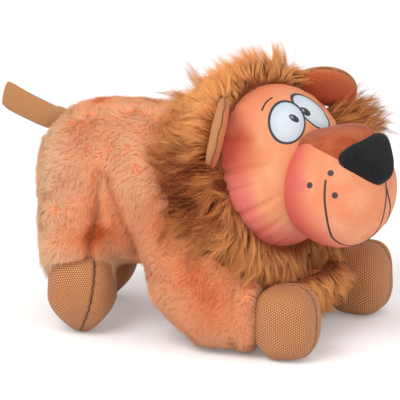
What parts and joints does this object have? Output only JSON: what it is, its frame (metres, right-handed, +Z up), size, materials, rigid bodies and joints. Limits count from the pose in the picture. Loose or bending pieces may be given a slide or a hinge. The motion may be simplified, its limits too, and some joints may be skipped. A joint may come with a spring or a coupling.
{
  "type": "plush lion",
  "caption": "Stuffed plush lion standing low on its paws, with a long-pile mane, mesh face and paws, and sewn limbs, head, ears and tail that flex on their seams.",
  "frame": {"origin": "on the ground, under the middle of the lion's bounding box", "axes": "+X towards the head, +Y to the lion's left, +Z up"},
  "size_m": [0.3194, 0.174, 0.2115],
  "materials": {
    "fur": "short plush pile",
    "long_pile": "long plush pile",
    "face_mesh": "printed sports mesh, padded",
    "brown_mesh": "sports mesh",
    "tan_cloth": "smooth short pile",
    "brown_plush": "short velour",
    "black_fleece": "fleece",
    "filling": "polyester fibre",
    "squeaker_plastic": "soft blow-moulded plastic"
  },
  "bodies": {
    "torso": {"torso_cover": "fur", "torso_filling": "filling", "chest_mane": "long_pile", "squeaker_bellows": "squeaker_plastic", "squeaker_reed": "squeaker_plastic"},
    "head": {"mane": "long_pile", "head_filling": "filling", "face_panel": "face_mesh", "muzzle": "face_mesh", "nose_bridge": "brown_plush", "nose": "black_fleece"},
    "right_ear": {"right_ear": "brown_mesh"},
    "left_ear": {"left_ear": "brown_mesh"},
    "tail": {"tail": "tan_cloth"},
    "front_right_leg": {"front_right_leg": "fur", "front_right_paw": "brown_mesh"},
    "front_left_leg": {"front_left_leg": "fur", "front_left_paw": "brown_mesh"},
    "rear_right_leg": {"rear_right_leg": "fur", "rear_right_paw": "brown_mesh"},
    "rear_left_leg": {"rear_left_leg": "fur", "rear_left_paw": "brown_mesh"}
  },
  "joints": [
    {"name": "head_turn", "type": "hinge", "parent": "torso", "child": "head", "pos_m": [0.06041, -0.00005, 0.1295], "axis": [0, 0, 1], "range_deg": [-10, 36], "stiffness_Nm_per_rad": 2},
    {"name": "front_right_swing", "type": "hinge", "parent": "torso", "child": "front_right_leg", "pos_m": [-0.00209, -0.04805, 0.0755], "axis": [0, 1, 0], "range_deg": [-8, 14], "stiffness_Nm_per_rad": 5},
    {"name": "front_left_swing", "type": "hinge", "parent": "torso", "child": "front_left_leg", "pos_m": [-0.00209, 0.04795, 0.0755], "axis": [0, 1, 0], "range_deg": [-8, 14], "stiffness_Nm_per_rad": 5},
    {"name": "rear_right_swing", "type": "hinge", "parent": "torso", "child": "rear_right_leg", "pos_m": [-0.08209, -0.04305, 0.0985], "axis": [0, 1, 0], "range_deg": [-12, 12], "stiffness_Nm_per_rad": 5},
    {"name": "rear_left_swing", "type": "hinge", "parent": "torso", "child": "rear_left_leg", "pos_m": [-0.08209, 0.03295, 0.0985], "axis": [0, 1, 0], "range_deg": [-12, 12], "stiffness_Nm_per_rad": 5},
    {"name": "right_ear_fold", "type": "hinge", "parent": "head", "child": "right_ear", "pos_m": [0.02999, -0.05246, 0.16553], "axis": [-0.0113, 0.6338, 0.7734], "range_deg": [-14, 24], "stiffness_Nm_per_rad": 0.05},
    {"name": "left_ear_fold", "type": "hinge", "parent": "head", "child": "left_ear", "pos_m": [0.07129, 0.068, 0.16603], "axis": [0.7761, 0.4725, -0.4177], "range_deg": [-14, 24], "stiffness_Nm_per_rad": 0.05},
    {"name": "tail_wag", "type": "hinge", "parent": "torso", "child": "tail", "pos_m": [-0.10984, -0.00505, 0.1499], "axis": [0, 0, 1], "range_deg": [-35, 35], "stiffness_Nm_per_rad": 0.05}
  ]
}
